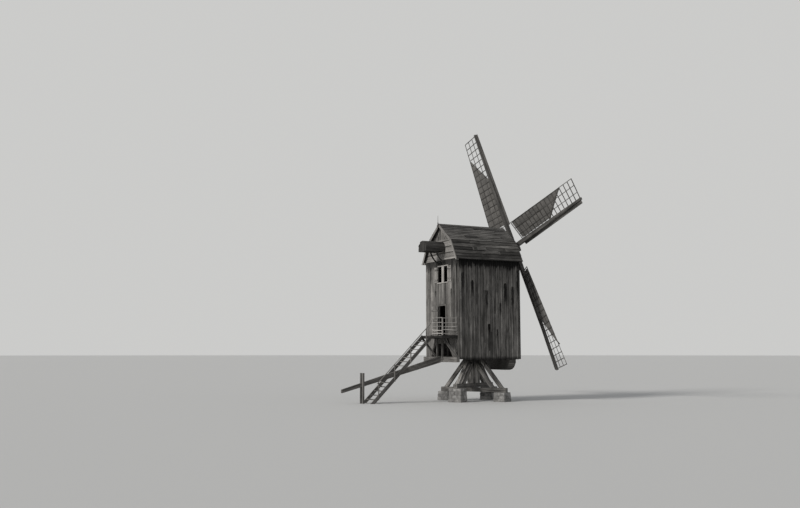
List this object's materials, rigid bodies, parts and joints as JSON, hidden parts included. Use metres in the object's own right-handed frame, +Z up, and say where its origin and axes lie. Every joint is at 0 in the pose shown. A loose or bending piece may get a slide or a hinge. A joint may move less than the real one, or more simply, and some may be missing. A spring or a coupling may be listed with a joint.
{
  "type": "open trestle post mill",
  "caption": "Timber post mill on an open trestle: boarded body that turns on its post, common sails, tail ladder, porch and tail pole.",
  "frame": {"origin": "on the ground, on the axis of the post that the body turns on", "axes": "+Z up along the post; -Y towards the breast and the sails, +Y towards the tail, its door and its ladder"},
  "size_m": [17.0392, 14.7218, 18.676],
  "materials": {
    "masonry": "rough coursed stone",
    "sail_cloth": "tarred canvas",
    "roof_board": "weathered boards",
    "wall_board": "weathered upright boards",
    "iron": "dull",
    "sail_timber": "weathered",
    "frame_timber": "weathered, sawn and adzed"
  },
  "bodies": {
    "trestle": {"piers": "masonry", "crosstrees": "frame_timber", "quarterbars": "frame_timber", "main_post": "frame_timber"},
    "buck": {"breast_apron": "wall_board", "breast_wall": "wall_board", "crown_tree": "frame_timber", "door_frame": "frame_timber", "finial": "iron", "floors": "frame_timber", "gable_frame": "frame_timber", "hatch_frame": "frame_timber", "hatch_shutters": "wall_board", "hoist_hood": "roof_board", "hood_supports": "frame_timber", "ladder_pins": "iron", "pole_legs": "frame_timber", "porch_floor": "frame_timber", "porch_frame": "frame_timber", "porch_railing": "frame_timber", "roof": "roof_board", "shaft_beams": "frame_timber", "shaft_bearings": "frame_timber", "sheers": "frame_timber", "side_rails": "frame_timber", "side_walls": "wall_board", "tail_frame": "frame_timber", "tail_pole": "frame_timber", "tail_wall": "wall_board", "verge_boards": "wall_board", "wall_posts": "frame_timber"},
    "sails": {"windshaft": "frame_timber", "stocks": "sail_timber", "leading_boards": "sail_timber", "sail_frame_a": "sail_timber", "sail_frame_b": "sail_timber", "sail_frame_c": "sail_timber", "sail_frame_d": "sail_timber", "sail_cloth_a": "sail_cloth", "sail_cloth_b": "sail_cloth", "sail_cloth_c": "sail_cloth", "sail_cloth_d": "sail_cloth"},
    "ladder": {"ladder_strings": "frame_timber", "ladder_treads": "frame_timber", "ladder_handrail": "frame_timber"},
    "door": {"door_leaf": "wall_board"}
  },
  "joints": [
    {"name": "buck_turn", "type": "hinge", "parent": "trestle", "child": "buck", "pos_m": [0, 0, 6.43], "axis": [0, 0, 1], "continuous": true},
    {"name": "sails_turn", "type": "hinge", "parent": "buck", "child": "sails", "pos_m": [0, -3.25, 10.3], "axis": [0, -0.9781, 0.2079], "continuous": true},
    {"name": "ladder_lift", "type": "hinge", "parent": "buck", "child": "ladder", "pos_m": [0, 3.575, 4.1246], "axis": [1, 0, 0], "range_deg": [0, 2]},
    {"name": "door_swing", "type": "hinge", "parent": "buck", "child": "door", "pos_m": [0.345, 2.432, 5.26], "axis": [0, 0, 1], "range_deg": [0, 180]}
  ]
}
